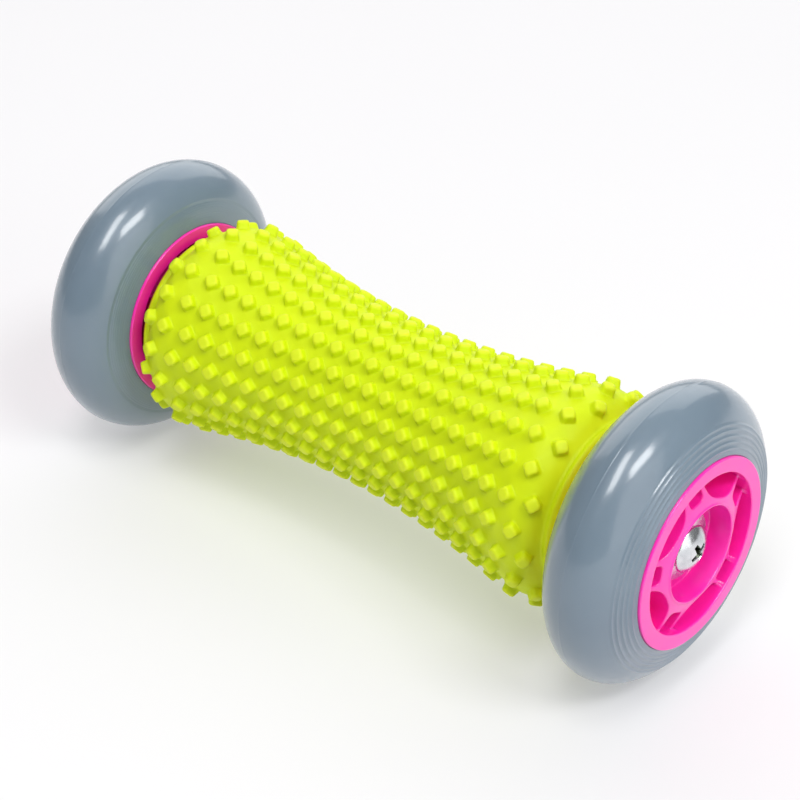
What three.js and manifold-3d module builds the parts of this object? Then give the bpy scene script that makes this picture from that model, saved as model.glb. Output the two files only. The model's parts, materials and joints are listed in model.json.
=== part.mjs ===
// Foot massage roller: a soft hourglass sleeve on a stiff core, with a free-running wheel at each end.
// Millimetres, +Z up, +X along the axle. The origin is on the floor, midway between the wheels.
import * as THREE from 'three';
import { mergeVertices } from 'three/addons/utils/BufferGeometryUtils.js';
import Module from 'manifold-3d';

const wasm = await Module();
wasm.setup();

// Driving dimensions
const wheelRadius = 35;
const wheelTrack = 150.5; // between the wheels' mid-planes
const wheelHalfWidth = 11.65; // of the hub, which stands just proud of the tyre
const hubRadius = 22.5;
const ringInnerRadius = 18.9;
const seatRadius = 11; // the round seat at the middle of each hub face
const seatFloor = 5.95; // the seats' floors, from the wheel's mid-plane
const anchorRadius = 24.5; // the rib that locks the tyre to the hub
const anchorHalfWidth = 3;
const sleeveHalfLength = 62.4;
const sleeveWaist = 18.7; // radius of the sleeve's skin at its middle
const sleeveRise = 5.9; // how far the skin has risen by riseLength
const riseLength = 50;
const nubHeight = 2;
const coreHalfLength = 58;
const coreWaist = 15.4;
const coreEnd = 18;
const coreWall = 2.4;
const boltRadius = 2.4;
const gap = 0.3; // between pieces that touch
const thinGap = 0.25; // between the stacked washers
const roundSegments = 32;
const treadSegments = 48;
const smallSegments = 20;
const weldDistance = 1e-4;

const axleHeight = wheelRadius;
const wheelX = wheelTrack / 2;
const clearBore = boltRadius + gap;

// A piece turned about X, from a profile of [x, radius] points that starts and ends on the axis. Half a
// facet of offset puts a flat, not a corner, at the bottom.
function turnedSolid(profile, segments) {
  const points = profile.map(([x, radius]) => new THREE.Vector2(radius, x));
  const geometry = new THREE.LatheGeometry(points, segments, Math.PI / segments, 2 * Math.PI);
  return geometry.rotateZ(-Math.PI / 2);
}

// A piece with a hole along X. Its profile runs towards +X on the outside and back on the inside.
function turned(profile, segments) {
  return turnedSolid([...profile, profile[0]], segments);
}

function washer(start, end, inner, outer) {
  return turned([[start, outer], [end, outer], [end, inner], [start, inner]], smallSegments);
}

function toSolid(geometry) {
  geometry.deleteAttribute('normal');
  geometry.deleteAttribute('uv');
  const merged = mergeVertices(geometry, weldDistance);
  const vertProperties = new Float32Array(merged.attributes.position.array);
  const triVerts = new Uint32Array(merged.index.array);
  return new wasm.Manifold(new wasm.Mesh({ numProp: 3, vertProperties, triVerts }));
}

function toGeometry(solid) {
  const mesh = solid.getMesh();
  const geometry = new THREE.BufferGeometry();
  geometry.setAttribute('position', new THREE.BufferAttribute(mesh.vertProperties, 3));
  geometry.setIndex(new THREE.BufferAttribute(mesh.triVerts, 1));
  return geometry;
}

// A flat shape drawn in the YZ plane, pushed out along X from start.
function extrudedAlongX(shape, start, length, curveSegments) {
  const geometry = new THREE.ExtrudeGeometry(shape, { depth: length, bevelEnabled: false, curveSegments });
  const axes = new THREE.Matrix4().makeBasis(
    new THREE.Vector3(0, 1, 0),
    new THREE.Vector3(0, 0, 1),
    new THREE.Vector3(1, 0, 0),
  );
  return geometry.applyMatrix4(axes).translate(start, 0, 0);
}

// Materials
const limeRubber = { color: 0xd2eb14, roughness: 0.55, metalness: 0 };
const greyUrethane = { color: 0x8294a0, roughness: 0.2, metalness: 0 };
const pinkPlastic = { color: 0xff3caa, roughness: 0.3, metalness: 0 };
const whitePlastic = { color: 0xe6e6e0, roughness: 0.5, metalness: 0 };
const nylon = { color: 0xf2f0e6, roughness: 0.45, metalness: 0 };
const zincSteel = { color: 0xc8cacc, roughness: 0.25, metalness: 1 };
const brass = { color: 0xc8a050, roughness: 0.35, metalness: 1 };

function part(name, geometry, finish) {
  const mesh = new THREE.Mesh(geometry, new THREE.MeshStandardMaterial(finish));
  mesh.name = name;
  return mesh;
}

// Sleeve: a parabolic waist, a round shoulder tangent to it, then a narrow lip that tapers to its edge.
const shoulderStart = 50.4;
const shoulderRadius = 8;
const shoulderEnd = 59.4;
const lipRadius = 21.1;
const lipCrest = 60.9;
const lipEdgeRadius = 19.7;
const waistSteps = 8;
const shoulderSteps = 3;
const boreSteps = 6;

function skinRadius(x) {
  return sleeveWaist + sleeveRise * (x / riseLength) ** 2;
}

function coreRadius(x) {
  return coreWaist + (coreEnd - coreWaist) * (x / coreHalfLength) ** 2;
}

// Evenly spaced values from one end to the other, in that many steps.
function sampled(steps, from, to) {
  return Array.from({ length: steps + 1 }, (_, i) => from + ((to - from) * i) / steps);
}

function sleeveGeometry() {
  const slope = (2 * sleeveRise * shoulderStart) / riseLength ** 2;
  const tilt = Math.atan(slope);
  const centreX = shoulderStart + shoulderRadius * Math.sin(tilt);
  const centreRadius = skinRadius(shoulderStart) - shoulderRadius * Math.cos(tilt);
  const nubTips = shoulderRadius + nubHeight;
  const waist = sampled(waistSteps, -shoulderStart, shoulderStart).map((x) => [x, skinRadius(x) + nubHeight]);
  const endTurn = Math.asin((shoulderEnd - centreX) / nubTips);
  const shoulder = sampled(shoulderSteps, -tilt / 2, endTurn).map((turn) => [
    centreX + nubTips * Math.sin(turn),
    centreRadius + nubTips * Math.cos(turn),
  ]);
  const lip = [[shoulderEnd, lipRadius], [lipCrest, lipRadius], [sleeveHalfLength, lipEdgeRadius]];
  const rightEnd = [...shoulder, ...lip];
  const leftEnd = rightEnd.map(([x, radius]) => [-x, radius]).reverse();
  const bore = sampled(boreSteps, sleeveHalfLength, -sleeveHalfLength).map((x) => [x, coreRadius(x) + gap]);
  return turned([...leftEnd, ...waist, ...rightEnd, ...bore], roundSegments);
}

// Core: an hourglass tube with a straight seat at each end for the cap's spigot.
const spigotLength = 10;
const spigotRadius = 14.6;
const coreSteps = 6;
const coreBoreSteps = 4;

function coreGeometry() {
  const seatStart = coreHalfLength - spigotLength - gap;
  const outside = sampled(coreSteps, -coreHalfLength, coreHalfLength).map((x) => [x, coreRadius(x)]);
  const inside = sampled(coreBoreSteps, seatStart, -seatStart).map((x) => [x, coreRadius(x) - coreWall]);
  const seat = spigotRadius + gap;
  const rightSeat = [[coreHalfLength, seat], [seatStart, seat]];
  const leftSeat = [[-seatStart, seat], [-coreHalfLength, seat]];
  return turned([...outside, ...rightSeat, ...inside, ...leftSeat], roundSegments);
}

// The pieces from here on belong to the right end, with x measured from the wheel's mid-plane.
// The left end is the same set turned half round.
const local = (x) => x - wheelX;
const bushExtra = 0.1; // the bush is a little longer than the hub's web, so the wheel runs free
const bushEnd = seatFloor + bushExtra;
const washerRadius = 8;
const washerThickness = 0.8;
const lockThickness = 0.9;
const outerWasherStart = bushEnd + thinGap;
const lockStart = outerWasherStart + washerThickness + thinGap;
const headStart = lockStart + lockThickness + thinGap;
const innerWasherEnd = -bushEnd - thinGap;
const noseEnd = innerWasherEnd - washerThickness - thinGap;

// End cap: a flange against the core, a hollow spigot inside it, a boss for the insert, and a nose
// that reaches into the hub's inner seat.
const flangeRadius = 18;
const flangeThickness = 2.6;
const spigotWall = 2.2;
const bossRadius = 6.5;
const noseRadius = 9;
const insertRadius = 3.6;
const insertLength = 10;

function endCapGeometry() {
  const flangeStart = local(coreHalfLength) + gap;
  const flangeEnd = flangeStart + flangeThickness;
  const spigotStart = flangeStart - spigotLength;
  const insertSeat = spigotStart + insertLength + gap;
  const hollow = spigotRadius - spigotWall;
  const profile = [
    [spigotStart, spigotRadius],
    [flangeStart, spigotRadius],
    [flangeStart, flangeRadius],
    [flangeEnd, flangeRadius],
    [flangeEnd, noseRadius],
    [noseEnd, noseRadius],
    [noseEnd, clearBore],
    [insertSeat, clearBore],
    [insertSeat, insertRadius + gap],
    [spigotStart, insertRadius + gap],
    [spigotStart, bossRadius],
    [flangeStart, bossRadius],
    [flangeStart, hollow],
    [spigotStart, hollow],
  ];
  return turned(profile, roundSegments);
}

function insertGeometry() {
  const start = local(coreHalfLength) + gap - spigotLength;
  return washer(start, start + insertLength, clearBore, insertRadius);
}

// Screw: a domed head with a cross recess, and a plain shank.
const headRadius = 5.5;
const headRim = 0.4;
const headHeight = 2.6;
const shankEnd = local(50.5);
const tipChamfer = 0.5;
const tipLength = 0.8;
const domeSteps = 5;
const recessWidth = 1.05;
const recessReach = 2.5;
const recessDepth = 2;

function screwGeometry() {
  const rise = headHeight - headRim;
  const sphere = (headRadius ** 2 + rise ** 2) / (2 * rise);
  const widest = Math.asin(headRadius / sphere);
  const dome = sampled(domeSteps, widest, 0).map((turn) => [
    headStart + headHeight - sphere + sphere * Math.cos(turn),
    sphere * Math.sin(turn),
  ]);
  dome[domeSteps][1] = 0;
  const profile = [
    [shankEnd, 0],
    [shankEnd, boltRadius - tipChamfer],
    [shankEnd + tipLength, boltRadius],
    [headStart, boltRadius],
    [headStart, headRadius],
    ...dome,
  ];
  const body = toSolid(turnedSolid(profile, smallSegments));
  const recessStart = headStart + headHeight - recessDepth;
  const arm = () => new THREE.BoxGeometry(2 * recessDepth, 2 * recessReach, recessWidth);
  const upright = toSolid(arm().rotateX(Math.PI / 2).translate(recessStart + recessDepth, 0, 0));
  const level = toSolid(arm().translate(recessStart + recessDepth, 0, 0));
  return toGeometry(body.subtract(upright).subtract(level));
}

// Spring lock washer: a thick ring with one split.
const lockRadius = 4.6;
const lockSplit = 0.8;

function lockWasherGeometry() {
  const ring = toSolid(washer(lockStart, lockStart + lockThickness, clearBore, lockRadius));
  const split = new THREE.BoxGeometry(2 * lockThickness, lockRadius, lockSplit);
  const middle = lockStart + lockThickness / 2;
  return toGeometry(ring.subtract(toSolid(split.translate(middle, -(clearBore + lockRadius) / 2, 0))));
}

// Hub: an outer ring, a dished web and a boss with the seat, then pockets cut from both faces.
const webEdgeDepth = 2; // the web's depth below the ring's face, where they meet
const bossRimDepth = 0.4;
const bossRimRadius = 12.3;
const seatChamfer = 0.6;
const bushRadius = 4;
const hubBore = bushRadius + thinGap;
const edgeBreak = 0.3;
const pocketOuter = 18.6;
const pocketFloor = 3.25; // from the wheel's mid-plane
const pocketPitch = 72;
const pocketPhase = -9.5;
const pocketStep = 9; // degrees of arc to each straight side
const cutMargin = 1;
const pockets = [
  { offset: 0, width: 44, inner: 13.2 },
  { offset: 36, width: 16, inner: 14.5 },
];

function pocketShape(centre, width, inner) {
  const from = THREE.MathUtils.degToRad(centre - width / 2);
  const to = THREE.MathUtils.degToRad(centre + width / 2);
  const shape = new THREE.Shape();
  shape.absarc(0, 0, pocketOuter, from, to, false);
  shape.absarc(0, 0, inner, to, from, true);
  shape.closePath();
  return shape;
}

function hubGeometry() {
  const face = wheelHalfWidth;
  const halfOutside = [
    [anchorHalfWidth, anchorRadius],
    [anchorHalfWidth, hubRadius],
    [face - edgeBreak, hubRadius],
    [face, hubRadius - edgeBreak],
    [face, ringInnerRadius + edgeBreak],
    [face - edgeBreak, ringInnerRadius],
    [face - webEdgeDepth, ringInnerRadius],
    [face - bossRimDepth, bossRimRadius],
    [face - bossRimDepth, seatRadius + seatChamfer],
    [face - bossRimDepth - seatChamfer, seatRadius],
    [seatFloor, seatRadius],
    [seatFloor, hubBore],
  ];
  const halfInside = halfOutside.map(([x, radius]) => [-x, radius]).reverse();
  let hub = toSolid(turned([...halfOutside, ...halfInside], roundSegments));
  const depth = face - pocketFloor + cutMargin;
  for (let turn = pocketPhase; turn < 360 + pocketPhase; turn += pocketPitch) {
    for (const { offset, width, inner } of pockets) {
      const shape = pocketShape(turn + offset, width, inner);
      const segments = Math.ceil(width / pocketStep);
      hub = hub.subtract(toSolid(extrudedAlongX(shape, pocketFloor, depth, segments)));
      hub = hub.subtract(toSolid(extrudedAlongX(shape, -pocketFloor - depth, depth, segments)));
    }
  }
  return toGeometry(hub);
}

// Tyre: an elliptical tread with a narrow flat crown. Its facets' middles, not their corners, lie at
// the wheel's radius, so that it rests on a flat.
const crownHalfWidth = 1.5;
const treadCentre = 20;
const treadHalfWidth = 11;
const sideStart = THREE.MathUtils.degToRad(76); // where the flat crown gives way to the ellipse
const sideToe = 0.1; // of the sidewall, above the bore
const sideSteps = 4;

function tyreGeometry() {
  const stretch = 1 / Math.cos(Math.PI / treadSegments);
  const rise = wheelRadius - treadCentre;
  const bore = hubRadius + gap;
  const lowest = Math.asin((bore + sideToe - treadCentre) / rise);
  const side = sampled(sideSteps, sideStart, lowest).map((turn) => [
    treadHalfWidth * Math.cos(turn),
    treadCentre + rise * Math.sin(turn),
  ]);
  const halfTread = [[crownHalfWidth, wheelRadius], ...side];
  const sideX = side[side.length - 1][0];
  const grooveRadius = anchorRadius + gap;
  const grooveHalfWidth = anchorHalfWidth + gap;
  const tread = [...halfTread.map(([x, radius]) => [-x, radius]).reverse(), ...halfTread];
  const inside = [
    [sideX, bore],
    [grooveHalfWidth, bore],
    [grooveHalfWidth, grooveRadius],
    [-grooveHalfWidth, grooveRadius],
    [-grooveHalfWidth, bore],
    [-sideX, bore],
  ];
  const stretched = [...tread, ...inside].map(([x, radius]) => [x, radius * stretch]);
  return turned(stretched, treadSegments);
}

// Assembly
function wheelEnd(side) {
  const end = new THREE.Group();
  end.add(part(`${side}_end_cap`, endCapGeometry(), whitePlastic));
  end.add(part(`${side}_insert_nut`, insertGeometry(), brass));
  end.add(part(`${side}_axle_bush`, washer(-bushEnd, bushEnd, clearBore, bushRadius), nylon));
  const innerWasher = washer(innerWasherEnd - washerThickness, innerWasherEnd, clearBore, washerRadius);
  end.add(part(`${side}_inner_washer`, innerWasher, zincSteel));
  const outerWasher = washer(outerWasherStart, outerWasherStart + washerThickness, clearBore, washerRadius);
  end.add(part(`${side}_outer_washer`, outerWasher, zincSteel));
  end.add(part(`${side}_lock_washer`, lockWasherGeometry(), zincSteel));
  end.add(part(`${side}_axle_screw`, screwGeometry(), zincSteel));
  end.add(part(`${side}_hub`, hubGeometry(), pinkPlastic));
  end.add(part(`${side}_tyre`, tyreGeometry(), greyUrethane));
  return end;
}

const roller = new THREE.Group();

const sleeve = part('massage_sleeve', sleeveGeometry(), limeRubber);
sleeve.position.set(0, 0, axleHeight);
roller.add(sleeve);

const core = part('core_tube', coreGeometry(), whitePlastic);
core.position.set(0, 0, axleHeight);
roller.add(core);

const rightEnd = wheelEnd('right');
rightEnd.position.set(wheelX, 0, axleHeight);
roller.add(rightEnd);

const leftEnd = wheelEnd('left');
leftEnd.position.set(-wheelX, 0, axleHeight);
leftEnd.rotation.z = Math.PI;
roller.add(leftEnd);

export default roller;
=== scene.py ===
import json
import math

import bmesh
import bpy
import numpy as np
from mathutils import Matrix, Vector


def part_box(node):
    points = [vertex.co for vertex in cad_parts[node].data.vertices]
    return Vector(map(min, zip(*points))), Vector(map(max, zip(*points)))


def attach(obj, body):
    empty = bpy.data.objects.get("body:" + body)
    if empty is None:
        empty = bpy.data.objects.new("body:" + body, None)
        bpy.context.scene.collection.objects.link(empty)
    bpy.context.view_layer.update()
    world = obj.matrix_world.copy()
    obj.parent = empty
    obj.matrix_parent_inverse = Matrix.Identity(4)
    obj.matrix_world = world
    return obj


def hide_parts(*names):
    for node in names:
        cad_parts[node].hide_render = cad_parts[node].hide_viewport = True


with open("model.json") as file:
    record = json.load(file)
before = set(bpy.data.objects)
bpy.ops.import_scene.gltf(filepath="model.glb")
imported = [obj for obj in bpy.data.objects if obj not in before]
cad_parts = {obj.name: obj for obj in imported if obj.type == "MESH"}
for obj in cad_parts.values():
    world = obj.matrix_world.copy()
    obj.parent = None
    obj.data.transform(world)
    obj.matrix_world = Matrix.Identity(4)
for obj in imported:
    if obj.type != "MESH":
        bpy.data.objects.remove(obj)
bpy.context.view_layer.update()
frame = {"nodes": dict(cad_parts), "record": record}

# Lengths here are in millimetres and angles in degrees. Meshes are made in metres.
MM = 0.001


# Places from the frame

def cad_box(node):
    low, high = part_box(node)
    return np.array(low) / MM, np.array(high) / MM


sleeve_low, sleeve_high = cad_box("massage_sleeve")
tyre_low, tyre_high = cad_box("right_tyre")
hub_low, hub_high = cad_box("right_hub")
_, core_high = cad_box("core_tube")
cap_low, cap_high = cad_box("right_end_cap")
washer_low, washer_high = cad_box("right_outer_washer")
inner_washer_low, inner_washer_high = cad_box("right_inner_washer")
lock_low, lock_high = cad_box("right_lock_washer")
screw_low, _ = cad_box("right_axle_screw")

WHEEL_RADIUS = (tyre_high[2] - tyre_low[2]) / 2
AXLE_HEIGHT = (tyre_high[2] + tyre_low[2]) / 2
WHEEL_X = (hub_low[0] + hub_high[0]) / 2
HALF_WIDTH = (hub_high[0] - hub_low[0]) / 2
SLEEVE_X = (sleeve_low[0] + sleeve_high[0]) / 2


# Mesh building
WELD = 1e-6  # in metres: points in one cell of a grid of this pitch become one
WELD_SHIFT = 0.371  # keeps round values off the lines of that grid


class Surface:
    """Collects points, a mark for each point, and faces. Points that coincide become one in the mesh."""

    def __init__(self):
        self.points = []
        self.faces = []
        self.marks = []

    def add(self, points, mark=0.0):
        start = len(self.points)
        self.points.extend(map(tuple, points))
        self.marks.extend([mark] * len(points))
        return list(range(start, len(self.points)))

    def band(self, first, second, closed=True):
        count = len(first)
        for i in range(count if closed else count - 1):
            j = (i + 1) % count
            self.faces.append((first[i], first[j], second[j], second[i]))

    def rings(self, rings, closed=True, wrap=False):
        """Faces between each ring of points and the next."""
        made = [self.add(ring) for ring in rings]
        for first, second in zip(made, made[1:]):
            self.band(first, second, closed)
        if wrap:
            self.band(made[-1], made[0], closed)
        return made

    def fill(self, ring):
        self.faces.append(tuple(ring))

    def mesh(self, name, place, mark_name=None):
        points = place(np.array(self.points)) * MM
        keys = np.floor(points / WELD + WELD_SHIFT).astype(np.int64)
        _, first, inverse = np.unique(keys, axis=0, return_index=True, return_inverse=True)
        inverse = inverse.ravel()
        faces = []
        for face in self.faces:
            welded = [int(inverse[i]) for i in face]
            distinct = [v for i, v in enumerate(welded) if v != welded[i - 1]]
            if len(distinct) > 2:
                faces.append(distinct)
        mesh = bpy.data.meshes.new(name)
        mesh.from_pydata(points[first].tolist(), [], faces)
        if mark_name:
            attribute = mesh.attributes.new(mark_name, "FLOAT", "POINT")
            attribute.data.foreach_set("value", np.array(self.marks)[first])
        mesh.shade_smooth()
        return mesh


def faces_outwards(mesh):
    """Turns every face of a closed mesh to point out."""
    work = bmesh.new()
    work.from_mesh(mesh)
    bmesh.ops.recalc_face_normals(work, faces=work.faces)
    work.to_mesh(mesh)
    work.free()


def polar(x, radius, angles):
    """Points on circles about the axle. Angle 0 is at +Y and 90 at +Z."""
    turns = np.radians(angles)
    x = np.broadcast_to(x, turns.shape)
    return np.stack([x, radius * np.cos(turns), radius * np.sin(turns)], axis=-1)


def even_angles(count):
    return np.arange(count) * 360 / count


def softened(corners, steps=4):
    """A closed outline whose corners, each (x, radius, cut), are rounded off from the cut onwards."""
    outline = []
    count = len(corners)
    for i, (x, radius, cut) in enumerate(corners):
        corner = np.array([x, radius])
        if cut == 0:
            outline.append(corner)
            continue
        before = np.array(corners[i - 1][:2]) - corner
        after = np.array(corners[(i + 1) % count][:2]) - corner
        start = corner + before / np.linalg.norm(before) * cut
        end = corner + after / np.linalg.norm(after) * cut
        for t in np.linspace(0, 1, steps + 1):
            outline.append((1 - t) ** 2 * start + 2 * t * (1 - t) * corner + t ** 2 * end)
    return outline


def turned(outline, segments):
    """A surface turned about the axle from a closed outline of (x, radius)."""
    surface = Surface()
    angles = even_angles(segments)
    surface.rings([polar(x, radius, angles) for x, radius in outline], wrap=True)
    return surface


# Placing
CORE = "roller_core"  # the body that doesn't turn
slot_of = {part["node"]: part["material_slot"] for part in frame["record"]["subparts"]}


def on_sleeve(points):
    return points + [SLEEVE_X, 0, AXLE_HEIGHT]


def at_end(side):
    """Puts points, given from the middle of the right wheel, at either end."""
    def place(points):
        if side == "left":
            points = points * [-1, -1, 1]
            return points + [-WHEEL_X, 0, AXLE_HEIGHT]
        return points + [WHEEL_X, 0, AXLE_HEIGHT]
    return place


def piece(name, surface, place, material, node, body, mark_name=None, crisp=False):
    mesh = surface.mesh(name, place, mark_name)
    faces_outwards(mesh)
    mesh.materials.append(material)
    made = bpy.data.objects.new(name, mesh)
    bpy.context.scene.collection.objects.link(made)
    if crisp:
        made.modifiers.new("even_shading", "WEIGHTED_NORMAL").keep_sharp = True
    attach(made, body)
    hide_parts(node)
    return made


# Materials

def shader(name):
    material = bpy.data.materials.new(name)
    material.use_nodes = True
    tree = material.node_tree
    return material, tree, tree.nodes["Principled BSDF"]


def srgb(red, green, blue):
    """A colour given as it looks on a screen, from 0 to 255, as the linear values that shaders use."""
    def linear(value):
        value /= 255
        return value / 12.92 if value <= 0.04045 else ((value + 0.055) / 1.055) ** 2.4
    return (linear(red), linear(green), linear(blue), 1)


def noise(tree, scale, detail):
    """Noise that stays with the object. The scale is in features for each metre."""
    coordinates = tree.nodes.new("ShaderNodeTexCoord")
    texture = tree.nodes.new("ShaderNodeTexNoise")
    texture.inputs["Scale"].default_value = scale
    texture.inputs["Detail"].default_value = detail
    tree.links.new(coordinates.outputs["Object"], texture.inputs["Vector"])
    return texture.outputs["Fac"]


def from_axle(tree):
    """The distance from the wheels' axis, in metres."""
    coordinates = tree.nodes.new("ShaderNodeTexCoord")
    mapping = tree.nodes.new("ShaderNodeMapping")
    mapping.inputs["Location"].default_value = (0, 0, -AXLE_HEIGHT * MM)
    mapping.inputs["Scale"].default_value = (0, 1, 1)
    tree.links.new(coordinates.outputs["Object"], mapping.inputs["Vector"])
    length = tree.nodes.new("ShaderNodeVectorMath")
    length.operation = "LENGTH"
    tree.links.new(mapping.outputs["Vector"], length.inputs[0])
    return length.outputs["Value"]


def turning_marks(tree):
    """Fine rings about the axle that fade out past the tyres' step."""
    rings = tree.nodes.new("ShaderNodeTexNoise")
    rings.noise_dimensions = "1D"
    rings.inputs["Scale"].default_value = 2500
    tree.links.new(from_axle(tree), rings.inputs["W"])
    near_hub = spread(tree, from_axle(tree), 27.8 * MM, 28.4 * MM, 1.0, 0.0)
    return product(tree, rings.outputs["Fac"], near_hub)


def ramp(tree, value, low, high, low_colour, high_colour):
    """Turns a value between low and high into a colour between two."""
    node = tree.nodes.new("ShaderNodeValToRGB")
    node.color_ramp.elements[0].position = low
    node.color_ramp.elements[0].color = low_colour
    node.color_ramp.elements[1].position = high
    node.color_ramp.elements[1].color = high_colour
    tree.links.new(value, node.inputs["Fac"])
    return node.outputs["Color"]


def spread(tree, value, low, high, to_low, to_high):
    """Turns a value between low and high into a number between two."""
    node = tree.nodes.new("ShaderNodeMapRange")
    for name, number in (("From Min", low), ("From Max", high), ("To Min", to_low), ("To Max", to_high)):
        node.inputs[name].default_value = number
    tree.links.new(value, node.inputs["Value"])
    return node.outputs["Result"]


def product(tree, first, second):
    node = tree.nodes.new("ShaderNodeMath")
    node.operation = "MULTIPLY"
    tree.links.new(first, node.inputs[0])
    tree.links.new(second, node.inputs[1])
    return node.outputs["Value"]


def mixed(tree, factor, first, second):
    """Mixes a plain colour, the second, into a colour that other nodes make."""
    node = tree.nodes.new("ShaderNodeMix")
    node.data_type = "RGBA"
    factor_socket, first_socket, second_socket = (node.inputs[i] for i in (0, 6, 7))
    tree.links.new(factor, factor_socket)
    tree.links.new(first, first_socket)
    second_socket.default_value = second
    return node.outputs[2]


def bumped(tree, bsdf, height, depth, strength):
    """Bump from a height of 0 to 1 that stands for a depth in millimetres."""
    node = tree.nodes.new("ShaderNodeBump")
    node.inputs["Strength"].default_value = strength
    node.inputs["Distance"].default_value = depth * MM
    tree.links.new(height, node.inputs["Height"])
    tree.links.new(node.outputs["Normal"], bsdf.inputs["Normal"])


def lime_rubber():
    material, tree, bsdf = shader("lime_rubber")
    cloud = noise(tree, 60, 3)
    skin = ramp(tree, cloud, 0.3, 0.7, srgb(204, 223, 0), srgb(211, 229, 2))
    # Painted highlight: the nub tops are mixed towards a paler, lighter lime.
    height = tree.nodes.new("ShaderNodeAttribute")
    height.attribute_name = "nub_height"
    painted_top_highlight = spread(tree, height.outputs["Fac"], 0.6, 1.0, 0.0, 0.5)
    colour = mixed(tree, painted_top_highlight, skin, srgb(222, 235, 46))
    tree.links.new(colour, bsdf.inputs["Base Color"])
    grain = noise(tree, 2500, 2)
    tree.links.new(spread(tree, grain, 0.3, 0.7, 0.48, 0.6), bsdf.inputs["Roughness"])
    bumped(tree, bsdf, grain, 0.02, 0.5)
    bsdf.inputs["Specular IOR Level"].default_value = 0.28
    bsdf.inputs["Subsurface Weight"].default_value = 0.4
    bsdf.inputs["Subsurface Radius"].default_value = (1.0, 1.0, 0.2)
    bsdf.inputs["Subsurface Scale"].default_value = 1.5 * MM
    return material


def grey_urethane():
    material, tree, bsdf = shader("grey_urethane")
    cloud = noise(tree, 40, 3)
    colour = ramp(tree, cloud, 0.3, 0.7, srgb(106, 124, 139), srgb(114, 132, 146))
    tree.links.new(colour, bsdf.inputs["Base Color"])
    smear = noise(tree, 300, 3)
    tree.links.new(spread(tree, smear, 0.3, 0.7, 0.34, 0.42), bsdf.inputs["Roughness"])
    bumped(tree, bsdf, turning_marks(tree), 0.1, 0.8)
    bsdf.inputs["Coat Weight"].default_value = 1.0
    bsdf.inputs["Coat Roughness"].default_value = 0.15
    bsdf.inputs["Subsurface Weight"].default_value = 0.3
    bsdf.inputs["Subsurface Radius"].default_value = (0.8, 0.9, 1.0)
    bsdf.inputs["Subsurface Scale"].default_value = 2.5 * MM
    return material


def pink_plastic():
    material, tree, bsdf = shader("pink_plastic")
    cloud = noise(tree, 90, 3)
    colour = ramp(tree, cloud, 0.3, 0.7, srgb(252, 30, 172), srgb(255, 36, 180))
    tree.links.new(colour, bsdf.inputs["Base Color"])
    tree.links.new(spread(tree, cloud, 0.3, 0.7, 0.3, 0.36), bsdf.inputs["Roughness"])
    bsdf.inputs["Coat Weight"].default_value = 0.4
    bsdf.inputs["Coat Roughness"].default_value = 0.2
    bsdf.inputs["Specular IOR Level"].default_value = 0.75
    return material


def metal(name, dull, bright, rough_low, rough_high):
    material, tree, bsdf = shader(name)
    cloud = noise(tree, 350, 4)
    tree.links.new(ramp(tree, cloud, 0.35, 0.65, dull, bright), bsdf.inputs["Base Color"])
    grain = noise(tree, 1200, 3)
    tree.links.new(spread(tree, grain, 0.3, 0.7, rough_low, rough_high), bsdf.inputs["Roughness"])
    bumped(tree, bsdf, grain, 0.01, 0.4)
    bsdf.inputs["Metallic"].default_value = 1.0
    return material


def plain_plastic(name, dull, bright, rough_low, rough_high):
    material, tree, bsdf = shader(name)
    cloud = noise(tree, 120, 3)
    tree.links.new(ramp(tree, cloud, 0.3, 0.7, dull, bright), bsdf.inputs["Base Color"])
    grain = noise(tree, 2000, 2)
    tree.links.new(spread(tree, grain, 0.3, 0.7, rough_low, rough_high), bsdf.inputs["Roughness"])
    bumped(tree, bsdf, grain, 0.015, 0.5)
    return material


ZINC = (srgb(198, 202, 206), srgb(228, 230, 232), 0.16, 0.3)
MATERIALS = {
    "lime_rubber": lime_rubber(),
    "grey_urethane": grey_urethane(),
    "pink_plastic": pink_plastic(),
    "zinc_steel": metal("zinc_steel", *ZINC),
    "brass_insert": metal("brass_insert", srgb(190, 150, 80), srgb(214, 176, 100), 0.22, 0.4),
    "white_plastic": plain_plastic("white_plastic", srgb(222, 222, 216), srgb(232, 232, 227), 0.4, 0.5),
    "nylon_bush": plain_plastic("nylon_bush", srgb(236, 233, 222), srgb(244, 241, 232), 0.32, 0.42),
}


# Sleeve: a parabolic waist and a round shoulder, with staggered rows of square nubs.
WAIST = 18.7
RISE = 5.9  # how far the skin has risen by REACH
REACH = 50.0
SHOULDER_START = 50.4
SHOULDER_RADIUS = 8.0
SKIN_END = 60.7  # along the skin, where the crease begins
# From there on, as (x, radius): the crease, the lip and the end's rounded edge.
END_CREASE = [(59.62, 20.7), (59.8, 20.62), (60.0, 20.64), (60.2, 20.76), (60.45, 20.88)]
END_LIP = [(60.8, 20.92), (61.2, 20.76), (61.7, 20.32), (62.1, 19.92), (62.32, 19.6), (62.4, 19.2)]
END_LIP += [(62.3, 18.85)]
CORE_WAIST = 15.4  # the core tube's radius, in the middle and at its ends
CORE_END = 18.0
BORE_CLEARANCE = 0.3
BORE_FLARE_END = 58.0  # past here the bore runs straight
BORE_END = 62.0
NUB_PITCH = 16 / 3
ROWS = 22
ROW_ANGLE = 360 / ROWS
FIRST_ROW = -2.6  # from straight up, towards the front
EVEN_NUBS = 9  # at the even pitch, on each side of the middle
# Past those, the nubs follow the shoulder: where they stand along the skin, and where their cells meet.
LAST_NUBS = {"between": [51.4, 57.3], "on middle": [54.4]}
LAST_KNOTS = [51.33, 54.45, 57.5, SKIN_END]
NUB_STEPS = 6  # faces along each side of a nub's cell
NUB_HEIGHT = 2.0
# Each ring of a nub, from its foot to its top: half its width and its share of the height.
NUB_RINGS = [(1.92, 0.0), (1.7, 0.1), (1.6, 0.3), (1.49, 0.72), (1.35, 0.92), (1.04, 1.0)]
NUB_CORNER = 0.7

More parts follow.
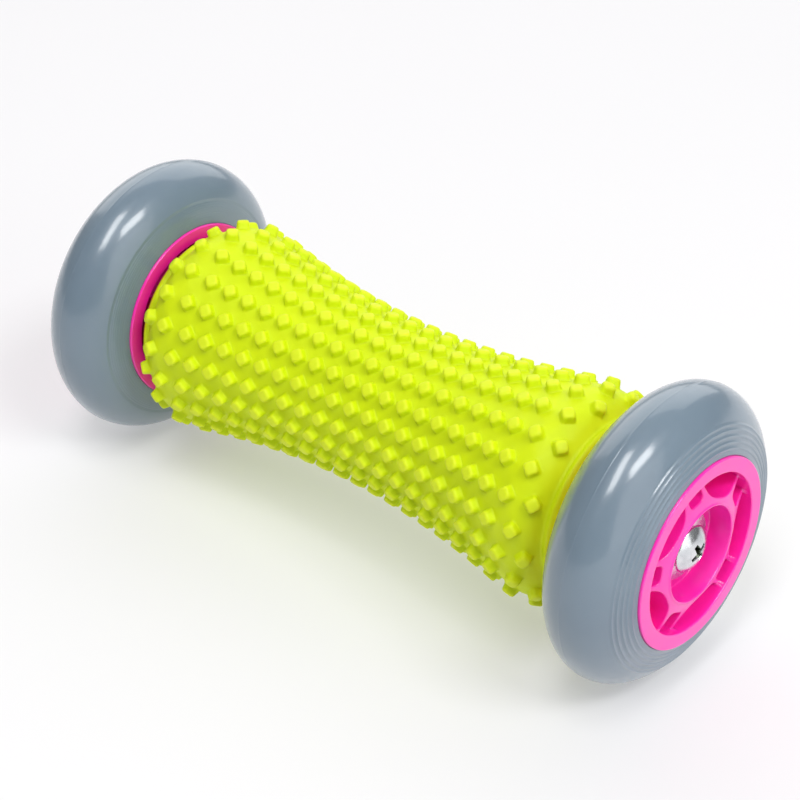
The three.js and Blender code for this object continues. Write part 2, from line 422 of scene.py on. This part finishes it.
SHOULDER_TILT = math.atan(2 * RISE * SHOULDER_START / REACH ** 2)
SHOULDER_X = SHOULDER_START + SHOULDER_RADIUS * math.sin(SHOULDER_TILT)
SHOULDER_Y = WAIST + RISE * (SHOULDER_START / REACH) ** 2 - SHOULDER_RADIUS * math.cos(SHOULDER_TILT)


def skin(along):
    """The skin's x and radius, and the way it faces, at distances along it from the middle."""
    along = np.asarray(along, float)
    side = np.sign(along)
    far = np.abs(along)
    near = np.minimum(far, SHOULDER_START)
    turn = np.where(
        far <= SHOULDER_START,
        -np.arctan(2 * RISE * near / REACH ** 2),
        (far - SHOULDER_START) / SHOULDER_RADIUS - SHOULDER_TILT,
    )
    on_waist = far <= SHOULDER_START
    x = np.where(on_waist, near, SHOULDER_X + SHOULDER_RADIUS * np.sin(turn))
    waist = WAIST + RISE * (near / REACH) ** 2
    radius = np.where(on_waist, waist, SHOULDER_Y + SHOULDER_RADIUS * np.cos(turn))
    return side * x, radius, side * np.sin(turn), np.cos(turn)


def on_skin(along, across, height):
    """Points at a height over the skin. Across is an angle from straight up, towards the front."""
    x, radius, face_x, face_radius = skin(along)
    turns = np.radians(90 + np.asarray(across))
    radius = radius + height * face_radius
    return np.stack([x + height * face_x, radius * np.cos(turns), radius * np.sin(turns)], axis=-1)


def square_ring(half, corner, steps):
    """A square with round corners, from the middle of one corner round to the next, in even counts."""
    diagonal = half - corner + corner * math.sqrt(0.5)
    flat = np.linspace(-(half - corner), half - corner, steps - 1)
    side = [(-diagonal, -diagonal)] + [(t, -half) for t in flat]
    ring = []
    for _ in range(4):
        ring += side
        side = [(-v, u) for u, v in side]
    return np.array(ring)


def diamond_ring(half, corner, steps):
    """The same square stood on a corner, from the middle of the side before that corner."""
    along, across = square_ring(half, corner, steps).T
    diamond = np.stack([along - across, along + across], axis=-1) * math.sqrt(0.5)
    return np.roll(diamond, steps // 2, axis=0)


def cell_border(along, low, high):
    """The edge of a nub's cell, in the same order as square_ring."""
    across = np.linspace(low, high, NUB_STEPS + 1)
    ring = [(t, low) for t in along[:-1]]
    ring += [(along[-1], t) for t in across[:-1]]
    ring += [(t, high) for t in along[:0:-1]]
    ring += [(along[0], t) for t in across[:0:-1]]
    return np.array(ring)


def nub(surface, along, centre, row):
    """One nub and the skin around it."""
    low, high = row - ROW_ANGLE / 2, row + ROW_ANGLE / 2
    border = cell_border(along, low, high)
    rings = [surface.add(on_skin(border[:, 0], border[:, 1], 0))]
    _, radius, _, face_radius = skin(centre)
    for half, share in NUB_RINGS:
        height = share * NUB_HEIGHT
        square = diamond_ring(half, NUB_CORNER, NUB_STEPS)
        reach = math.degrees(1 / (radius + height * face_radius))
        stations = centre + square[:, 0] * stretch_back(centre, height)
        points = on_skin(stations, row + square[:, 1] * reach, height)
        rings.append(surface.add(points, share))
    for first, second in zip(rings, rings[1:]):
        surface.band(first, second)
    top = rings[-1]
    close_square(surface, top[NUB_STEPS // 2:] + top[:NUB_STEPS // 2])


def stretch_back(centre, height):
    """On the round shoulder a nub's sides would spread with height. This keeps its width."""
    if abs(centre) > SHOULDER_START:
        return SHOULDER_RADIUS / (SHOULDER_RADIUS + height)
    return 1.0


def close_square(surface, ring):
    """Fills a nub's top with a grid of faces."""
    n = NUB_STEPS
    corners = np.array([surface.points[i] for i in ring])
    bottom, right = corners[:n + 1], corners[n:2 * n + 1]
    top = corners[2 * n:3 * n + 1][::-1]
    left = np.vstack([corners[3 * n:], corners[:1]])[::-1]
    grid = np.zeros((n + 1, n + 1, 3))
    for i in range(n + 1):
        s = i / n
        for j in range(n + 1):
            t = j / n
            across = (1 - t) * bottom[i] + t * top[i]
            up = (1 - s) * left[j] + s * right[j]
            mean = (1 - s) * (1 - t) * bottom[0] + s * (1 - t) * bottom[n]
            mean = mean + (1 - s) * t * top[0] + s * t * top[n]
            grid[i, j] = across + up - mean
    lines = [surface.add(line, 1.0) for line in grid]
    for first, second in zip(lines, lines[1:]):
        surface.band(first, second, closed=False)


def sleeve_surface():
    """Odd rows have a nub on the sleeve's middle and even rows stand half a pitch off it."""
    surface = Surface()
    knots = [NUB_PITCH / 2 * i for i in range(2 * EVEN_NUBS + 1)] + LAST_KNOTS
    knots = [-k for k in knots[:0:-1]] + knots
    for j in range(ROWS):
        row = FIRST_ROW + ROW_ANGLE * j
        odd = j % 2 == 1
        if odd:
            centres = [NUB_PITCH * k for k in range(-EVEN_NUBS, EVEN_NUBS + 1)]
            last = LAST_NUBS["on middle"]
        else:
            centres = [NUB_PITCH * (k + 0.5) for k in range(-EVEN_NUBS, EVEN_NUBS)]
            last = LAST_NUBS["between"]
        centres = [-c for c in reversed(last)] + centres + last
        first = 1 if odd else 0
        for i, centre in enumerate(centres):
            start, middle, end = knots[first + 2 * i:first + 2 * i + 3]
            along = np.concatenate([
                np.linspace(start, middle, NUB_STEPS // 2 + 1),
                np.linspace(middle, end, NUB_STEPS // 2 + 1)[1:],
            ])
            nub(surface, along, centre, row)
        if odd:
            bare_end(surface, knots[:2], row)
            bare_end(surface, knots[-2:], row)
    for side in (-1, 1):
        sleeve_end(surface, side)
    sleeve_bore(surface)
    return surface


def bare_end(surface, span, row):
    """The skin past the last nub of an odd row."""
    across = np.linspace(row - ROW_ANGLE / 2, row + ROW_ANGLE / 2, NUB_STEPS + 1)
    lines = []
    for along in np.linspace(*span, NUB_STEPS // 2 + 1):
        lines.append(on_skin(np.full(across.shape, along), across, 0))
    surface.rings(lines, closed=False)


def sleeve_angles():
    """The angles of the nub cells' edges, from +Y, on which the ends and the bore are built."""
    return 90 + FIRST_ROW - ROW_ANGLE / 2 + np.arange(ROWS * NUB_STEPS) * ROW_ANGLE / NUB_STEPS


def bore_radius(x):
    """Just clear of the core tube."""
    return CORE_WAIST + (CORE_END - CORE_WAIST) * (x / core_high[0]) ** 2 + BORE_CLEARANCE


def sleeve_end(surface, side):
    """The crease past the shoulder, the lip and the end's face."""
    x, radius, _, _ = skin(SKIN_END)
    outline = [(float(x), float(radius))] + END_CREASE + END_LIP
    outline += [(BORE_END, bore_radius(BORE_FLARE_END))]
    surface.rings([polar(side * x, radius, sleeve_angles()) for x, radius in outline])


def sleeve_bore(surface):
    """The wall inside, from one end to the other."""
    flared = np.linspace(-BORE_FLARE_END, BORE_FLARE_END, 9)
    stations = np.concatenate([[-BORE_END], flared, [BORE_END]])
    clamped = np.clip(stations, -BORE_FLARE_END, BORE_FLARE_END)
    surface.rings([polar(x, bore_radius(c), sleeve_angles()) for x, c in zip(stations, clamped)])


piece("nubbed_sleeve", sleeve_surface(), on_sleeve, MATERIALS["lime_rubber"], "massage_sleeve", CORE,
      mark_name="nub_height", crisp=True)


# Tyres: an elliptical section with fine ridges on its sidewalls and a parting line round its crown.
TREAD_CENTRE = 20.0
TREAD_HALF = 11.0
HUB_RADIUS = 22.5
TYRE_BORE = HUB_RADIUS + 0.08
ANCHOR_RADIUS = 24.5  # of the hub's rib, which holds the tyre
ANCHOR_HALF = 3.0
TYRE_SEGMENTS = 180
RIDGE_RADII = [24.1, 25.3, 26.5, 27.7, 28.8]
RIDGE_HEIGHT = 0.24
RIDGE_WIDTH = 0.26
BEAD_HEIGHT = 0.3  # by which the sidewall swells out against the hub
BEAD_WIDTH = 1.6
STEP_RADIUS = 28.1  # where the inner sidewall steps down towards the hub
STEP_HEIGHT = 0.18
STEP_WIDTH = 0.2
PARTING_HEIGHT = 0.05
PARTING_WIDTH = 0.18
RIDGED_TO = 30.0  # inside this radius the section's points stand close together, to carry the ridges
CROWN_FROM = math.radians(88)  # and again by the parting line, from here on round the section
TYRE_EDGE = 0.12
RIB_CLEARANCE = 0.1


def swell(distance, width):
    """A smooth bump: 1 at no distance, and close to nothing at twice the width."""
    return np.exp(-((distance / width) ** 2))


def tyre_surface():
    """The outer sidewall, at positive x, has the ridges. The inner one has the step."""
    rise = WHEEL_RADIUS - TREAD_CENTRE
    lowest = math.asin((TYRE_BORE + TYRE_EDGE - TREAD_CENTRE) / rise)
    ridged = math.asin((RIDGED_TO - TREAD_CENTRE) / rise)
    turns = np.concatenate([
        np.linspace(lowest, ridged, 64, endpoint=False),
        np.linspace(ridged, CROWN_FROM, 24, endpoint=False),
        np.linspace(CROWN_FROM, math.pi / 2, 8),
    ])
    turns = np.concatenate([turns, (math.pi - turns)[-2::-1]])
    x = TREAD_HALF * np.cos(turns)
    radius = TREAD_CENTRE + rise * np.sin(turns)
    face = np.stack([np.cos(turns) / TREAD_HALF, np.sin(turns) / rise], axis=-1)
    face /= np.linalg.norm(face, axis=1)[:, None]
    lift = PARTING_HEIGHT * (swell(x, PARTING_WIDTH) - 1)
    lift = lift + BEAD_HEIGHT * swell(radius - HUB_RADIUS, BEAD_WIDTH)
    lift = lift - (x < 0) * STEP_HEIGHT * (1 - np.tanh((radius - STEP_RADIUS) / STEP_WIDTH)) / 2
    for ridge in RIDGE_RADII:
        lift = lift + (x > 0) * RIDGE_HEIGHT * swell(radius - ridge, RIDGE_WIDTH)
    x = x + lift * face[:, 0]
    radius = radius + lift * face[:, 1]
    edge = x[0]
    groove, groove_radius = ANCHOR_HALF + RIB_CLEARANCE, ANCHOR_RADIUS + RIB_CLEARANCE
    inside = [(-edge, TYRE_BORE), (-groove, TYRE_BORE), (-groove, groove_radius)]
    inside += [(groove, groove_radius), (groove, TYRE_BORE), (edge, TYRE_BORE)]
    return turned(list(zip(x, radius)) + inside, TYRE_SEGMENTS)


# Hubs: a ring, a dished web with five long and five short pockets, and a boss with a round seat.
RING_INNER = 18.9
BOSS_OUTER = 12.3
SEAT_RADIUS = 11.0
SEAT_MOUTH = 11.2
LIP_HEIGHT = 0.3  # of the fine bead round the seat's mouth
LIP_WIDTH = 0.55
RING_INNER_EDGE = 0.35  # how far the edges of the ring and of the mouth are rounded
RING_OUTER_EDGE = 0.3
MOUTH_EDGE = 0.35
SEAT_FLOOR = 5.95  # from the wheel's mid-plane
HUB_BORE = 4.25
WEB_DEPTH_INNER = 0.35  # below the ring's face
WEB_DEPTH_OUTER = 2.2
POCKET_FLOOR = 3.25
POCKET_EDGE = 0.3
POCKET_PHASE = -9.5
LONG_INNER = 12.85
LONG_FLARE = 4.2  # how much further out a long pocket's inner edge is at the ring
LONG_HALF = 7.95  # half its width at the ring
SHORT_INNER = 14.1
SHORT_HALF = 2.3
SHORT_CORNER = 1.0
# The edges are drawn from beyond the ring's wall and cut there.
LONG_OVERRUN = 1.15  # times the half width
SHORT_START = 20.0
PAIRS = 5  # of a long and a short pocket
PAIR_ANGLE = 360 / PAIRS
CELL_AT_RING = 27.2  # half the angle of a long pocket's cell, at the ring and at the boss
CELL_AT_BOSS = 23.5
SIDE_STEPS = 10
ARC_STEP = 2.25  # in degrees
# The share of a pocket's edge that runs along a spoke, on each side.
LONG_SIDE_SHARE = 0.3
SHORT_SIDE_SHARE = 0.36
# Down a pocket's wall: the share of its depth and how far the wall leans in.
POCKET_LEVELS = [(0.0, 0.0), (0.35, 0.12), (0.7, 0.3), (0.93, 0.5), (0.98, 0.62), (1.0, 0.85)]


def web_x(radius):
    """How far out the web's face is. It is dished towards the ring."""
    share = (radius - BOSS_OUTER) / (RING_INNER - BOSS_OUTER)
    return HALF_WIDTH - (WEB_DEPTH_INNER + (WEB_DEPTH_OUTER - WEB_DEPTH_INNER) * share)


def half_edge(is_long):
    """Half of a pocket's edge, from beyond the ring's wall to its middle, as (out, sideways)."""
    if is_long:
        across = np.linspace(LONG_OVERRUN, 0, 120) * LONG_HALF
        return np.stack([LONG_INNER + LONG_FLARE * (across / LONG_HALF) ** 3, across], axis=-1)
    turns = np.linspace(0, math.pi / 2, 24)
    side = np.linspace(SHORT_START, SHORT_INNER + SHORT_CORNER, 60)
    side = np.stack([side, np.full(60, SHORT_HALF)], axis=-1)
    corner = np.stack([1 - np.sin(turns), np.cos(turns) - 1], axis=-1) * SHORT_CORNER
    corner = corner + [SHORT_INNER, SHORT_HALF]
    middle = np.stack([np.full(20, SHORT_INNER), np.linspace(SHORT_HALF - SHORT_CORNER, 0, 21)[1:]], axis=-1)
    return np.vstack([side, corner[1:], middle])


def pocket_rim(is_long, offset, arc_count):
    """A pocket's edge as flat points, open along the ring's wall. A positive offset widens it."""
    half = half_edge(is_long)
    line = np.vstack([half, half[-2::-1] * [1, -1]])
    tangent = np.gradient(line, axis=0)
    tangent /= np.linalg.norm(tangent, axis=1)[:, None]
    line = line + np.stack([tangent[:, 1], -tangent[:, 0]], axis=-1) * offset
    radii = np.hypot(line[:, 0], line[:, 1])
    first = int(np.argmax(radii < RING_INNER))
    share = (radii[first - 1] - RING_INNER) / (radii[first - 1] - radii[first])
    start = line[first - 1] + (line[first] - line[first - 1]) * share
    start *= RING_INNER / np.linalg.norm(start)
    line = np.vstack([[start], line[first:len(line) - first], [start * [1, -1]]])
    along = np.concatenate([[0], np.cumsum(np.linalg.norm(np.diff(line, axis=0), axis=1))])
    side = LONG_SIDE_SHARE if is_long else SHORT_SIDE_SHARE
    shares = np.concatenate([
        np.linspace(0, side, SIDE_STEPS + 1),
        np.linspace(side, 1 - side, arc_count + 1)[1:-1],
        np.linspace(1 - side, 1, SIDE_STEPS + 1),
    ])
    return np.stack([np.interp(shares * along[-1], along, line[:, i]) for i in (0, 1)], axis=-1)


def cell_halves(is_long):
    """Half the angle of a pocket's cell at the ring and at the boss."""
    if is_long:
        return CELL_AT_RING, CELL_AT_BOSS
    return PAIR_ANGLE / 2 - CELL_AT_RING, PAIR_ANGLE / 2 - CELL_AT_BOSS


def arc_steps(is_long):
    return round(2 * cell_halves(is_long)[1] / ARC_STEP)


def cell_edge(is_long):
    """A pocket's cell: along the middle of a spoke, round the boss and back along the next spoke."""
    at_ring, at_boss = cell_halves(is_long)
    radii = np.linspace(RING_INNER, BOSS_OUTER, SIDE_STEPS + 1)
    turns = np.radians(np.linspace(at_ring, at_boss, SIDE_STEPS + 1))
    side = np.stack([radii * np.cos(turns), radii * np.sin(turns)], axis=-1)
    turns = np.radians(np.linspace(at_boss, -at_boss, arc_steps(is_long) + 1))[1:-1]
    arc = np.stack([np.cos(turns), np.sin(turns)], axis=-1) * BOSS_OUTER
    return np.vstack([side, arc, side[::-1] * [1, -1]])


def spun(flat, x, centre):
    """Flat points turned to a pocket's place. Their x may be one number or one for each."""
    turn = math.radians(centre)
    y = flat[:, 0] * math.cos(turn) - flat[:, 1] * math.sin(turn)
    z = flat[:, 0] * math.sin(turn) + flat[:, 1] * math.cos(turn)
    return np.stack([np.broadcast_to(x, y.shape), y, z], axis=-1)


def pocket(surface, centre, is_long, flip):
    """One pocket with the web around it. Returns the angles and x of the ring wall's lower edge."""
    count = arc_steps(is_long)
    outlines = [(cell_edge(is_long), 0.0)]
    for turn in np.radians(np.linspace(0, 90, 5)):
        outlines.append((pocket_rim(is_long, POCKET_EDGE * (1 - math.sin(turn)), count),
                         POCKET_EDGE * (1 - math.cos(turn))))
    strips = []
    wall = []
    for flat, drop in outlines:
        x = web_x(np.hypot(flat[:, 0], flat[:, 1])) - drop
        strips.append(surface.add(spun(flat, flip * x, centre)))
        wall.append((math.degrees(math.atan2(flat[0][1], flat[0][0])), x[0]))
    for first, second in zip(strips, strips[1:]):
        surface.band(first, second, closed=False)
    rim, drop = outlines[-1]
    top_angle, top_x = wall[-1]
    wall_count = round(2 * top_angle / ARC_STEP)
    rim_x = web_x(np.hypot(rim[:, 0], rim[:, 1])) - drop
    rings = []
    for share, inset in POCKET_LEVELS:
        level = pocket_rim(is_long, -inset, count)
        end = math.atan2(level[0][1], level[0][0])
        turns = np.linspace(-end, end, wall_count + 1)[1:-1]
        flat = np.vstack([level, RING_INNER * np.stack([np.cos(turns), np.sin(turns)], axis=-1)])
        top = np.concatenate([rim_x, np.full(len(turns), top_x)])
        rings.append(surface.add(spun(flat, flip * (top + (POCKET_FLOOR - top) * share), centre)))
    for first, second in zip(rings, rings[1:]):
        surface.band(first, second)
    surface.fill(rings[-1])
    arc = np.linspace(top_angle, -top_angle, wall_count + 1)
    lower = wall[:-1] + [(a, top_x) for a in arc] + [(-a, x) for a, x in wall[-2::-1]]
    return [(centre + a, x) for a, x in lower]


def hub_surface():
    """Both faces alike, each from the pockets out over the ring to the rib, and in through the boss."""
    surface = Surface()
    for flip in (1, -1):
        lower = []
        for pair in reversed(range(PAIRS)):
            centre = POCKET_PHASE + PAIR_ANGLE * pair
            lower += pocket(surface, centre + PAIR_ANGLE / 2, False, flip)[:-1]
            lower += pocket(surface, centre, True, flip)[:-1]
        angles = np.array([a for a, _ in lower])
        lower_x = np.array([x for _, x in lower])
        rings = [polar(flip * lower_x, RING_INNER, angles)]
        outside = round_edge(HALF_WIDTH, RING_INNER, RING_INNER_EDGE, (-1, 0), (0, 1))
        outside += round_edge(HALF_WIDTH, HUB_RADIUS, RING_OUTER_EDGE, (0, -1), (-1, 0))
        outside += [(ANCHOR_HALF, HUB_RADIUS), (ANCHOR_HALF, ANCHOR_RADIUS), (0, ANCHOR_RADIUS)]
        rings += [polar(flip * x, radius, angles) for x, radius in outside]
        surface.rings(rings)
        boss_x = web_x(BOSS_OUTER)
        lip_radius = SEAT_MOUTH + LIP_WIDTH
        inside = [(boss_x, BOSS_OUTER), (boss_x, lip_radius + 0.1)]
        inside += [(boss_x + LIP_HEIGHT * 0.6, lip_radius - 0.05)]
        inside += round_edge(boss_x + LIP_HEIGHT, SEAT_MOUTH, MOUTH_EDGE, (0, 1), (-1, 0))
        inside += [(SEAT_FLOOR + 0.4, SEAT_RADIUS), (SEAT_FLOOR + 0.1, SEAT_RADIUS - 0.1)]
        inside += [(SEAT_FLOOR, SEAT_RADIUS - 0.45), (SEAT_FLOOR, HUB_BORE + 0.2)]
        inside += [(SEAT_FLOOR - 0.2, HUB_BORE), (0, HUB_BORE)]
        surface.rings([polar(flip * x, radius, boss_angles()) for x, radius in inside])
    return surface


def boss_angles():
    """The angles at which the pockets' cells meet the boss."""
    angles = []
    for pair in range(PAIRS):
        for offset, is_long in ((0, True), (PAIR_ANGLE / 2, False)):
            cell = cell_halves(is_long)[1]
            centre = POCKET_PHASE + offset + PAIR_ANGLE * pair
            angles += list(np.linspace(centre - cell, centre + cell, arc_steps(is_long) + 1)[:-1])
    return np.array(angles)


def round_edge(x, radius, size, towards_start, towards_end):
    """Points round a corner, from the side that lies towards the start to the one towards the end."""
    corner = np.array([x, radius], float)
    start = corner + np.array(towards_start) * size
    end = corner + np.array(towards_end) * size
    shares = np.linspace(0, 1, 5)
    return [tuple((1 - t) ** 2 * start + 2 * t * (1 - t) * corner + t ** 2 * end) for t in shares]


# Small turned pieces
WASHER_BORE = 2.7


def washer_surface(low, high):
    start, end = low[0] - WHEEL_X, high[0] - WHEEL_X
    outer = 8.0
    return turned(softened([
        (start, outer, 0.15), (end, outer, 0.15), (end, WASHER_BORE, 0.1), (start, WASHER_BORE, 0.1)]), 96)


def lock_washer_surface():
    """A thick ring with one split, sprung a little along the axle."""
    start, end = lock_low[0] - WHEEL_X, lock_high[0] - WHEEL_X
    outer = 4.6
    lift = 0.08
    gap = 8
    edge = 0.08
    section = softened([
        (start + lift, outer, edge), (end - lift, outer, edge), (end - lift, WASHER_BORE, edge),
        (start + lift, WASHER_BORE, edge)], 2)
    surface = Surface()
    rings = []
    for turn in np.linspace(gap / 2, 360 - gap / 2, 97):
        push = lift * (turn / 180 - 1)
        rings.append(np.array([polar(x + push, radius, np.array(turn - 90.0)) for x, radius in section]))
    made = surface.rings(rings)
    surface.fill(made[0])
    surface.fill(made[-1])
    return surface


def end_cap_surface():
    """A cup on the core tube's end, with a boss inside that holds the threaded insert."""
    start, end = cap_low[0] - WHEEL_X, cap_high[0] - WHEEL_X
    spigot, hollow, boss, nose, flange, insert = 14.6, 12.4, 6.5, 9.0, 18.0, 3.9
    flange_start, flange_end = start + 10.0, start + 12.6
    insert_seat = start + 10.3
    outline = softened([
        (start, spigot, 0.4), (flange_start, spigot, 0.1), (flange_start, flange, 0.3),
        (flange_end, flange, 0.5), (flange_end, nose, 0.6), (end, nose, 0.4), (end, WASHER_BORE, 0.1),
        (insert_seat, WASHER_BORE, 0.05), (insert_seat, insert, 0.05), (start, insert, 0.1),
        (start, boss, 0.3),
        (flange_start, boss, 0.4), (flange_start, hollow, 0.4), (start, hollow, 0.3)])
    return turned(outline, 96)


# Screws: a low dome with a cross recess, on a plain shank.
HEAD_RADIUS = 5.55
HEAD_RIM = 0.4
HEAD_HEIGHT = 2.6
RECESS_REACH = 2.6
RECESS_WIDTH = 1.2
RECESS_DEPTH = 2.2
RECESS_TURN = 27  # in degrees
HEAD_SEAT = lock_high[0] - WHEEL_X + 0.2


def screw_body_surface():
    seat = HEAD_SEAT
    tip = screw_low[0] - WHEEL_X
    shank = 2.4
    rise = HEAD_HEIGHT - HEAD_RIM
    sphere = (HEAD_RADIUS ** 2 + rise ** 2) / (2 * rise)
    widest = math.asin(HEAD_RADIUS / sphere)
    outline = [(tip, 0), (tip, shank - 0.5), (tip + 0.8, shank), (seat - 0.2, shank), (seat, shank + 0.2)]
    outline += [(seat, HEAD_RADIUS - 0.15), (seat + 0.12, HEAD_RADIUS), (seat + HEAD_RIM - 0.1, HEAD_RADIUS)]
    dome_from = widest * 0.985  # leaves a small round between the rim and the dome
    for turn in np.linspace(dome_from, 0, 20):
        outline.append((seat + HEAD_HEIGHT - sphere + sphere * math.cos(turn), sphere * math.sin(turn)))
    surface = Surface()
    angles = even_angles(80)
    surface.rings([polar(x, radius, angles) for x, radius in outline])
    return surface


def recess_surface():
    """A cross that tapers towards its floor, to be cut from a screw's head."""
    end = HEAD_SEAT + HEAD_HEIGHT
    surface = Surface()
    half = RECESS_WIDTH / 2

    def cross(reach, half_width, x, inner):
        flat = []
        for quarter in range(4):
            turn = math.radians(90 * quarter + RECESS_TURN)
            for u, v in ((reach, -half_width), (reach, half_width), (inner, inner)):
                y = u * math.cos(turn) - v * math.sin(turn)
                z = u * math.sin(turn) + v * math.cos(turn)
                flat.append((x, y, z))
        return flat

    rings = surface.rings([
        cross(RECESS_REACH + 0.5, half + 0.16, end + 0.8, half + 0.34),
        cross(RECESS_REACH, half, end - 0.1, half + 0.18),
        cross(RECESS_REACH - 0.9, half * 0.7, end - RECESS_DEPTH * 0.9, half * 0.8),
        cross(0.5, half * 0.5, end - RECESS_DEPTH, half * 0.5),
    ])
    surface.fill(rings[0])
    surface.fill(rings[-1])
    return surface


def recess_shade_mask(tree):
    """Where shade is painted: 1 below a screw's dome and close to the axis, as in its recess, and 0 on the
    dome.
    """
    coordinates = tree.nodes.new("ShaderNodeTexCoord")
    parts = tree.nodes.new("ShaderNodeSeparateXYZ")
    tree.links.new(coordinates.outputs["Object"], parts.inputs["Vector"])
    outwards = tree.nodes.new("ShaderNodeMath")
    outwards.operation = "ABSOLUTE"
    tree.links.new(parts.outputs["X"], outwards.inputs[0])
    end = WHEEL_X + HEAD_SEAT + HEAD_HEIGHT
    below = spread(tree, outwards.outputs["Value"], (end - 0.8) * MM, (end - 0.45) * MM, 1.0, 0.0)
    close = spread(tree, from_axle(tree), 2.6 * MM, 2.9 * MM, 1.0, 0.0)
    return product(tree, below, close)


def screw_steel():
    """Bright zinc, with shade painted dark into the recess."""
    material = metal("screw_steel", *ZINC)
    tree = material.node_tree
    base = tree.nodes["Principled BSDF"].inputs["Base Color"]
    bright = base.links[0].from_socket
    # Painted shade: a dark grey-green is mixed into the zinc inside the cross recess.
    tree.links.new(mixed(tree, recess_shade_mask(tree), bright, srgb(88, 96, 84)), base)
    return material


SCREW_STEEL = screw_steel()


def add_screw(side):
    screw = piece(f"{side}_cross_screw", screw_body_surface(), at_end(side), SCREW_STEEL,
                  f"{side}_axle_screw", CORE)
    mesh = recess_surface().mesh("recess", at_end(side))
    faces_outwards(mesh)
    cutter = bpy.data.objects.new("recess", mesh)
    bpy.context.scene.collection.objects.link(cutter)
    cut = screw.modifiers.new("recess", "BOOLEAN")
    cut.operation = "DIFFERENCE"
    cut.solver = "EXACT"
    cut.object = cutter
    bpy.context.view_layer.update()
    result = bpy.data.meshes.new_from_object(screw.evaluated_get(bpy.context.evaluated_depsgraph_get()))
    screw.modifiers.clear()
    screw.data = result
    result.shade_smooth()
    result.set_sharp_from_angle(angle=math.radians(28))
    bpy.data.objects.remove(cutter)


for side in ("right", "left"):
    place = at_end(side)
    wheel = f"{side}_wheel"
    piece(f"{side}_round_tyre", tyre_surface(), place, MATERIALS["grey_urethane"], f"{side}_tyre", wheel)
    for name, surface, material, node, body in (
            ("spoked_hub", hub_surface(), "pink_plastic", "hub", wheel),
            ("seat_washer", washer_surface(washer_low, washer_high), "zinc_steel", "outer_washer", CORE),
            ("thrust_washer", washer_surface(inner_washer_low, inner_washer_high), "zinc_steel",
             "inner_washer", CORE),
            ("split_washer", lock_washer_surface(), "zinc_steel", "lock_washer", CORE),
            ("core_plug", end_cap_surface(), "white_plastic", "end_cap", CORE)):
        piece(f"{side}_{name}", surface, place, MATERIALS[material], f"{side}_{node}", body, crisp=True)
    add_screw(side)

for node in ["core_tube", "left_insert_nut", "right_insert_nut", "left_axle_bush", "right_axle_bush"]:
    shown = frame["nodes"][node]
    shown.data.materials.clear()
    shown.data.materials.append(MATERIALS[slot_of[node]])


# Camera
AIM = np.array([2.422, 0.0, AXLE_HEIGHT + 2.286])
DISTANCE = 529.814
AZIMUTH = 40.496
ELEVATION = 34.327
LENS = 102.8375
SENSOR = 36.0


def direction(azimuth, elevation):
    """The way from the object to something seen at an azimuth, from the front to the right, and a height."""
    a, e = math.radians(azimuth), math.radians(elevation)
    return Vector((math.sin(a) * math.cos(e), -math.cos(a) * math.cos(e), math.sin(e)))


def add_camera():
    camera = bpy.data.cameras.new("camera")
    camera.lens = LENS
    camera.sensor_width = SENSOR
    camera.clip_start = 0.01
    camera.clip_end = 20
    made = bpy.data.objects.new("camera", camera)
    bpy.context.scene.collection.objects.link(made)
    back = direction(AZIMUTH, ELEVATION)
    made.location = Vector(AIM * MM) + back * DISTANCE * MM
    made.rotation_euler = (-back).to_track_quat("-Z", "Y").to_euler()
    bpy.context.scene.camera = made


# Studio
def add_floor():
    material, tree, bsdf = shader("pale_floor")
    paper = ramp(tree, noise(tree, 4, 2), 0.3, 0.7, srgb(189, 188, 190), srgb(191, 190, 192))
    tree.links.new(paper, bsdf.inputs["Base Color"])
    bsdf.inputs["Emission Color"].default_value = (1, 1, 1, 1)
    bsdf.inputs["Emission Strength"].default_value = 0.35
    bsdf.inputs["Roughness"].default_value = 0.9
    bsdf.inputs["Specular IOR Level"].default_value = 0.1
    mesh = bpy.data.meshes.new("floor")
    reach = 4.0
    mesh.from_pydata([(-reach, -reach, 0), (reach, -reach, 0), (reach, reach, 0), (-reach, reach, 0)], [],
                     [(0, 1, 2, 3)])
    mesh.materials.append(material)
    floor = bpy.data.objects.new("floor", mesh)
    bpy.context.scene.collection.objects.link(floor)


def add_softbox(name, towards, distance, width, height, power):
    light = bpy.data.lights.new(name, "AREA")
    light.shape = "RECTANGLE"
    light.size = width
    light.size_y = height
    light.energy = power
    made = bpy.data.objects.new(name, light)
    bpy.context.scene.collection.objects.link(made)
    towards = Vector(towards).normalized()
    made.location = Vector((0, 0, AXLE_HEIGHT * MM)) + towards * distance
    made.rotation_euler = (-towards).to_track_quat("-Z", "Y").to_euler()


def add_world():
    world = bpy.data.worlds.new("studio")
    world.use_nodes = True
    tree = world.node_tree
    coordinates = tree.nodes.new("ShaderNodeTexCoord")
    parts = tree.nodes.new("ShaderNodeSeparateXYZ")
    tree.links.new(coordinates.outputs["Generated"], parts.inputs["Vector"])
    strength = spread(tree, parts.outputs["Z"], 0.1, 0.4, 0.18, 0.29)
    tree.links.new(strength, tree.nodes["Background"].inputs["Strength"])
    tree.nodes["Background"].inputs["Color"].default_value = (1.0, 1.0, 1.0, 1)
    bpy.context.scene.world = world


add_camera()
add_floor()
add_world()
add_softbox("softbox_front", (0.157, -0.375, 0.912), 1.5, 0.38, 0.85, 10)
add_softbox("softbox_side", (0.595, -0.06, 0.80), 1.5, 0.6, 0.36, 8.6)
add_softbox("softbox_back", (-0.54, 0.63, 0.56), 2.0, 3.5, 2.0, 30)
add_softbox("softbox_right", (0.95, -0.1, 0.3), 1.5, 1.2, 1.2, 6)
bpy.context.scene.view_settings.view_transform = "Standard"
